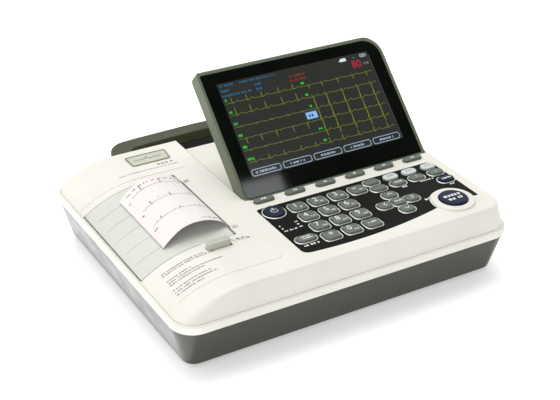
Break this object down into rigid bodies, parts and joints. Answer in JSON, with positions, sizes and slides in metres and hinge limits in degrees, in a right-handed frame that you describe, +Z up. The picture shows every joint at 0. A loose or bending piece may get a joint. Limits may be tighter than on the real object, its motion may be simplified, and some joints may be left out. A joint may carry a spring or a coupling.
{
  "type": "ecg machine",
  "caption": "Portable electrocardiograph with a fold-down display, keypad, thermal printer under a curved door, paper strip and rear carry handle.",
  "frame": {"origin": "centre of the object's box at the plane its feet stand on", "axes": "+X to the user's right, +Y to the back, +Z up"},
  "size_m": [0.3008, 0.278, 0.1394],
  "materials": {
    "white_shell": "moulded ABS, light grain",
    "dark_shell": "moulded ABS, light grain",
    "olive_shell": "moulded ABS",
    "display_shell": "moulded ABS",
    "black_panel": "satin",
    "black_glass": "polished",
    "grey_key": "satin silicone",
    "white_key": "satin silicone",
    "navy_key": "satin",
    "door_shell": "moulded ABS",
    "paper": "coated thermal paper",
    "steel": "plated",
    "rubber": "matte",
    "gear_plastic": "acetal",
    "bay_plastic": "moulded ABS",
    "circuit_board": "solder mask",
    "battery_wrap": "shrink wrap"
  },
  "bodies": {
    "housing": {"lower_case": "dark_shell", "upper_case": "white_shell", "keypad_panel": "black_panel", "carry_handle": "olive_shell", "display_hinge_shaft": "steel", "foot_front_left": "rubber", "foot_front_right": "rubber", "foot_back_left": "rubber", "foot_back_right": "rubber", "paper_bay": "bay_plastic", "paper_motor": "steel", "print_head": "steel", "main_board": "circuit_board", "battery_pack": "battery_wrap", "power_inlet": "black_panel", "patient_connector": "steel"},
    "display": {"display_housing": "display_shell", "display_glass": "black_glass"},
    "door": {"paper_door": "door_shell", "paper_strip": "paper"},
    "latch": {"door_latch": "door_shell"},
    "platen": {"platen_roller": "rubber"},
    "drive": {"drive_gear": "gear_plastic"},
    "roll": {"paper_roll": "paper"},
    "key_1": {"key_1": "grey_key"},
    "key_2": {"key_2": "grey_key"},
    "key_3": {"key_3": "grey_key"},
    "key_backspace": {"key_backspace": "grey_key"},
    "key_4": {"key_4": "grey_key"},
    "key_5": {"key_5": "grey_key"},
    "key_6": {"key_6": "grey_key"},
    "key_7": {"key_7": "grey_key"},
    "key_8": {"key_8": "grey_key"},
    "key_9": {"key_9": "grey_key"},
    "key_star": {"key_star": "grey_key"},
    "key_0": {"key_0": "grey_key"},
    "key_shift": {"key_shift": "grey_key"},
    "key_power": {"key_power": "navy_key"},
    "key_caps": {"key_caps": "grey_key"},
    "key_oval_11": {"key_oval_11": "grey_key"},
    "key_oval_12": {"key_oval_12": "white_key"},
    "key_oval_13": {"key_oval_13": "white_key"},
    "key_oval_14": {"key_oval_14": "white_key"},
    "key_oval_21": {"key_oval_21": "grey_key"},
    "key_oval_22": {"key_oval_22": "grey_key"},
    "key_oval_23": {"key_oval_23": "grey_key"},
    "key_oval_24": {"key_oval_24": "grey_key"},
    "key_copy": {"key_copy": "navy_key"},
    "key_up": {"key_up": "grey_key"},
    "key_down": {"key_down": "grey_key"},
    "key_left": {"key_left": "grey_key"},
    "key_right": {"key_right": "grey_key"},
    "key_enter": {"key_enter": "grey_key"},
    "key_f0": {"key_f0": "grey_key"},
    "key_f1": {"key_f1": "grey_key"},
    "key_f2": {"key_f2": "grey_key"},
    "key_f3": {"key_f3": "grey_key"},
    "key_f4": {"key_f4": "grey_key"},
    "key_f5": {"key_f5": "grey_key"},
    "key_start": {"key_start": "navy_key"}
  },
  "joints": [
    {"name": "display_tilt", "type": "hinge", "parent": "housing", "child": "display", "pos_m": [0.0539, -0.0235, 0.0582], "axis": [1, 0, 0], "range_deg": [-43.5, 15]},
    {"name": "door_hinge", "type": "hinge", "parent": "housing", "child": "door", "pos_m": [-0.1414, -0.01185, 0.041], "axis": [0, -1, 0], "range_deg": [0, 70]},
    {"name": "latch_slide", "type": "slide", "parent": "housing", "child": "latch", "axis": [1, 0, 0], "range_m": [0, 0.004], "stiffness_N_per_m": 300, "springref_m": -0.002},
    {"name": "roll_spin", "type": "hinge", "parent": "housing", "child": "roll", "pos_m": [-0.1124, -0.012, 0.033], "axis": [0, -1, 0], "continuous": true},
    {"name": "platen_spin", "type": "hinge", "parent": "door", "child": "platen", "pos_m": [-0.0724, -0.012, 0.052], "axis": [0, -1, 0], "continuous": true},
    {"name": "drive_spin", "type": "hinge", "parent": "housing", "child": "drive", "pos_m": [-0.07072, 0.039, 0.04164], "axis": [0, -1, 0], "continuous": true},
    {"name": "key_1_press", "type": "slide", "parent": "housing", "child": "key_1", "axis": [0, 0, -1], "range_m": [0, 0.0012], "stiffness_N_per_m": 400, "springref_m": -0.001},
    {"name": "key_2_press", "type": "slide", "parent": "housing", "child": "key_2", "axis": [0, 0, -1], "range_m": [0, 0.0012], "stiffness_N_per_m": 400, "springref_m": -0.001},
    {"name": "key_3_press", "type": "slide", "parent": "housing", "child": "key_3", "axis": [0, 0, -1], "range_m": [0, 0.0012], "stiffness_N_per_m": 400, "springref_m": -0.001},
    {"name": "key_backspace_press", "type": "slide", "parent": "housing", "child": "key_backspace", "axis": [0, 0, -1], "range_m": [0, 0.0012], "stiffness_N_per_m": 400, "springref_m": -0.001},
    {"name": "key_4_press", "type": "slide", "parent": "housing", "child": "key_4", "axis": [0, 0, -1], "range_m": [0, 0.0012], "stiffness_N_per_m": 400, "springref_m": -0.001},
    {"name": "key_5_press", "type": "slide", "parent": "housing", "child": "key_5", "axis": [0, 0, -1], "range_m": [0, 0.0012], "stiffness_N_per_m": 400, "springref_m": -0.001},
    {"name": "key_6_press", "type": "slide", "parent": "housing", "child": "key_6", "axis": [0, 0, -1], "range_m": [0, 0.0012], "stiffness_N_per_m": 400, "springref_m": -0.001},
    {"name": "key_7_press", "type": "slide", "parent": "housing", "child": "key_7", "axis": [0, 0, -1], "range_m": [0, 0.0012], "stiffness_N_per_m": 400, "springref_m": -0.001},
    {"name": "key_8_press", "type": "slide", "parent": "housing", "child": "key_8", "axis": [0, 0, -1], "range_m": [0, 0.0012], "stiffness_N_per_m": 400, "springref_m": -0.001},
    {"name": "key_9_press", "type": "slide", "parent": "housing", "child": "key_9", "axis": [0, 0, -1], "range_m": [0, 0.0012], "stiffness_N_per_m": 400, "springref_m": -0.001},
    {"name": "key_star_press", "type": "slide", "parent": "housing", "child": "key_star", "axis": [0, 0, -1], "range_m": [0, 0.0012], "stiffness_N_per_m": 400, "springref_m": -0.001},
    {"name": "key_0_press", "type": "slide", "parent": "housing", "child": "key_0", "axis": [0, 0, -1], "range_m": [0, 0.0012], "stiffness_N_per_m": 400, "springref_m": -0.001},
    {"name": "key_shift_press", "type": "slide", "parent": "housing", "child": "key_shift", "axis": [0, 0, -1], "range_m": [0, 0.0012], "stiffness_N_per_m": 400, "springref_m": -0.001},
    {"name": "key_power_press", "type": "slide", "parent": "housing", "child": "key_power", "axis": [0, 0, -1], "range_m": [0, 0.0012], "stiffness_N_per_m": 400, "springref_m": -0.001},
    {"name": "key_caps_press", "type": "slide", "parent": "housing", "child": "key_caps", "axis": [0, 0, -1], "range_m": [0, 0.0012], "stiffness_N_per_m": 400, "springref_m": -0.001},
    {"name": "key_oval_11_press", "type": "slide", "parent": "housing", "child": "key_oval_11", "axis": [0, 0, -1], "range_m": [0, 0.0012], "stiffness_N_per_m": 400, "springref_m": -0.001},
    {"name": "key_oval_12_press", "type": "slide", "parent": "housing", "child": "key_oval_12", "axis": [0, 0, -1], "range_m": [0, 0.0012], "stiffness_N_per_m": 400, "springref_m": -0.001},
    {"name": "key_oval_13_press", "type": "slide", "parent": "housing", "child": "key_oval_13", "axis": [0, 0, -1], "range_m": [0, 0.0012], "stiffness_N_per_m": 400, "springref_m": -0.001},
    {"name": "key_oval_14_press", "type": "slide", "parent": "housing", "child": "key_oval_14", "axis": [0, 0, -1], "range_m": [0, 0.0012], "stiffness_N_per_m": 400, "springref_m": -0.001},
    {"name": "key_oval_21_press", "type": "slide", "parent": "housing", "child": "key_oval_21", "axis": [0, 0, -1], "range_m": [0, 0.0012], "stiffness_N_per_m": 400, "springref_m": -0.001},
    {"name": "key_oval_22_press", "type": "slide", "parent": "housing", "child": "key_oval_22", "axis": [0, 0, -1], "range_m": [0, 0.0012], "stiffness_N_per_m": 400, "springref_m": -0.001},
    {"name": "key_oval_23_press", "type": "slide", "parent": "housing", "child": "key_oval_23", "axis": [0, 0, -1], "range_m": [0, 0.0012], "stiffness_N_per_m": 400, "springref_m": -0.001},
    {"name": "key_oval_24_press", "type": "slide", "parent": "housing", "child": "key_oval_24", "axis": [0, 0, -1], "range_m": [0, 0.0012], "stiffness_N_per_m": 400, "springref_m": -0.001},
    {"name": "key_copy_press", "type": "slide", "parent": "housing", "child": "key_copy", "axis": [0, 0, -1], "range_m": [0, 0.0012], "stiffness_N_per_m": 400, "springref_m": -0.001},
    {"name": "key_up_press", "type": "slide", "parent": "housing", "child": "key_up", "axis": [0, 0, -1], "range_m": [0, 0.0012], "stiffness_N_per_m": 400, "springref_m": -0.001},
    {"name": "key_down_press", "type": "slide", "parent": "housing", "child": "key_down", "axis": [0, 0, -1], "range_m": [0, 0.0012], "stiffness_N_per_m": 400, "springref_m": -0.001},
    {"name": "key_left_press", "type": "slide", "parent": "housing", "child": "key_left", "axis": [0, 0, -1], "range_m": [0, 0.0012], "stiffness_N_per_m": 400, "springref_m": -0.001},
    {"name": "key_right_press", "type": "slide", "parent": "housing", "child": "key_right", "axis": [0, 0, -1], "range_m": [0, 0.0012], "stiffness_N_per_m": 400, "springref_m": -0.001},
    {"name": "key_enter_press", "type": "slide", "parent": "housing", "child": "key_enter", "axis": [0, 0, -1], "range_m": [0, 0.0012], "stiffness_N_per_m": 400, "springref_m": -0.001},
    {"name": "key_f0_press", "type": "slide", "parent": "housing", "child": "key_f0", "axis": [0, 0, -1], "range_m": [0, 0.0012], "stiffness_N_per_m": 400, "springref_m": -0.001},
    {"name": "key_f1_press", "type": "slide", "parent": "housing", "child": "key_f1", "axis": [0, 0, -1], "range_m": [0, 0.0012], "stiffness_N_per_m": 400, "springref_m": -0.001},
    {"name": "key_f2_press", "type": "slide", "parent": "housing", "child": "key_f2", "axis": [0, 0, -1], "range_m": [0, 0.0012], "stiffness_N_per_m": 400, "springref_m": -0.001},
    {"name": "key_f3_press", "type": "slide", "parent": "housing", "child": "key_f3", "axis": [0, 0, -1], "range_m": [0, 0.0012], "stiffness_N_per_m": 400, "springref_m": -0.001},
    {"name": "key_f4_press", "type": "slide", "parent": "housing", "child": "key_f4", "axis": [0, 0, -1], "range_m": [0, 0.0012], "stiffness_N_per_m": 400, "springref_m": -0.001},
    {"name": "key_f5_press", "type": "slide", "parent": "housing", "child": "key_f5", "axis": [0, 0, -1], "range_m": [0, 0.0012], "stiffness_N_per_m": 400, "springref_m": -0.001},
    {"name": "key_start_press", "type": "slide", "parent": "housing", "child": "key_start", "axis": [0, 0, -1], "range_m": [0, 0.0012], "stiffness_N_per_m": 500, "springref_m": -0.001}
  ],
  "couplings": [
    {"joint": "platen_spin", "follows": "roll_spin", "ratio": 3.6364},
    {"joint": "drive_spin", "follows": "roll_spin", "ratio": -3.6364}
  ]
}
